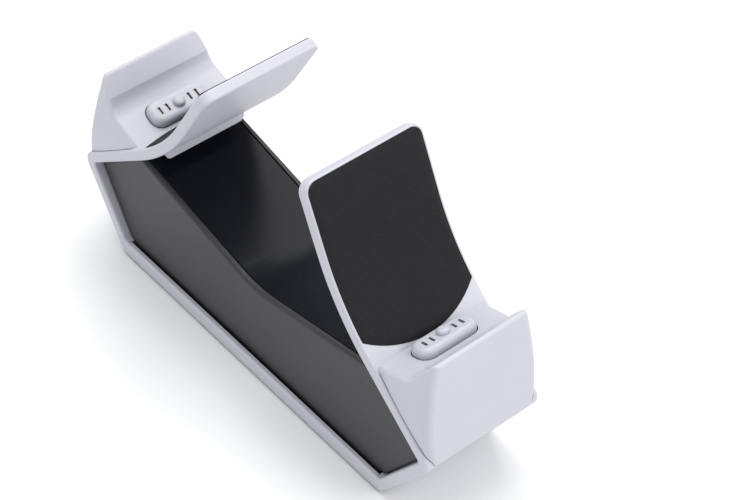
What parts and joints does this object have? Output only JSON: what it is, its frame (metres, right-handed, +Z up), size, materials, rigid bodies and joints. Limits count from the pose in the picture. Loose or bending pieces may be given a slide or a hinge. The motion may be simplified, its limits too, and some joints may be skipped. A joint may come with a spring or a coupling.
{
  "type": "controller charging dock",
  "caption": "Free-standing charging dock: leaning cradles back to back on a low base, each with a scooped seat, a connector block and a padded back plate.",
  "frame": {"origin": "on the table under the middle of the dock", "axes": "+X across the dock, towards the power inlet; +Y along it, towards the rear cradle; +Z up"},
  "size_m": [0.048, 0.18, 0.1064],
  "materials": {
    "white_plastic": "satin moulded plastic",
    "satin_black": "satin moulded plastic",
    "deck_black": "glossy moulded plastic",
    "jack_black": "moulded plastic",
    "socket_white": "moulded plastic",
    "pad_rubber": "soft matte rubber",
    "contact_metal": "plated",
    "board_green": "circuit board with solder mask",
    "lead_sleeve": "sleeved leads",
    "foot_rubber": "soft matte rubber",
    "screw_steel": "zinc plated"
  },
  "bodies": {
    "root": {"base_tray": "white_plastic", "rear_cradle": "white_plastic", "front_cradle": "white_plastic", "rear_lip": "white_plastic", "front_lip": "white_plastic", "rear_connector": "white_plastic", "front_connector": "white_plastic", "left_panel": "satin_black", "right_panel": "satin_black", "deck": "deck_black", "inlet_jack": "jack_black", "charge_chips": "jack_black", "lead_sockets": "socket_white", "rear_pad": "pad_rubber", "front_pad": "pad_rubber", "rear_contacts": "contact_metal", "front_contacts": "contact_metal", "rear_contact_board": "board_green", "front_contact_board": "board_green", "main_board": "board_green", "rear_leads": "lead_sleeve", "front_leads": "lead_sleeve", "feet": "foot_rubber", "base_screws": "screw_steel", "board_screws": "screw_steel", "rear_lip_screws": "screw_steel", "front_lip_screws": "screw_steel"}
  },
  "joints": []
}
